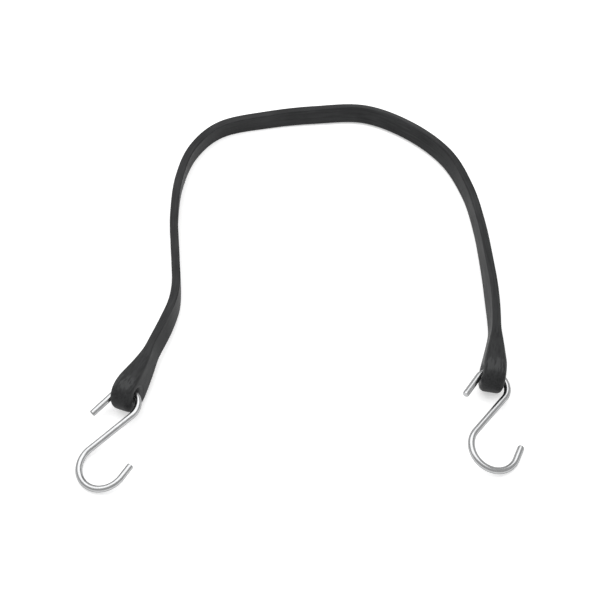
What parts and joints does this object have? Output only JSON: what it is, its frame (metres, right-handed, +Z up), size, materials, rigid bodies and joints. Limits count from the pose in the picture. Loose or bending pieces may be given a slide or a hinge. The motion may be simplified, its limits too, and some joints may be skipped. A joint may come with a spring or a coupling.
{
  "type": "rubber tie-down strap",
  "caption": "Flat black rubber tie-down strap lying in an open arch, with a thick moulded eye at each end and a zinc-plated wire S-hook swinging in each eye.",
  "frame": {"origin": "middle of the arch's outline on the table that the strap lies on", "axes": "+Z up off the table, across the strap's width; +Y from the open end of the arch to its crown; +X from the left eye to the right eye"},
  "size_m": [0.287, 0.335, 0.0248],
  "materials": {
    "black_rubber": "satin moulded rubber with a faint grey bloom and crisp moulded edges",
    "zinc_wire": "bright zinc-plated steel wire with fine drawing marks and plain cut ends"
  },
  "bodies": {
    "strap": {"rubber_strap": "black_rubber"},
    "left_hook": {"hook_left": "zinc_wire"},
    "right_hook": {"hook_right": "zinc_wire"}
  },
  "joints": [
    {"name": "left_hook_swing", "type": "hinge", "parent": "strap", "child": "left_hook", "pos_m": [-0.1123, -0.0992, 0.01242], "axis": [-0.9068, 0.4035, -0.1219], "range_deg": [-100, 120]},
    {"name": "right_hook_swing", "type": "hinge", "parent": "strap", "child": "right_hook", "pos_m": [0.127, -0.0848, 0.01237], "axis": [-0.9863, 0.1273, 0.1045], "range_deg": [-100, 120]}
  ]
}
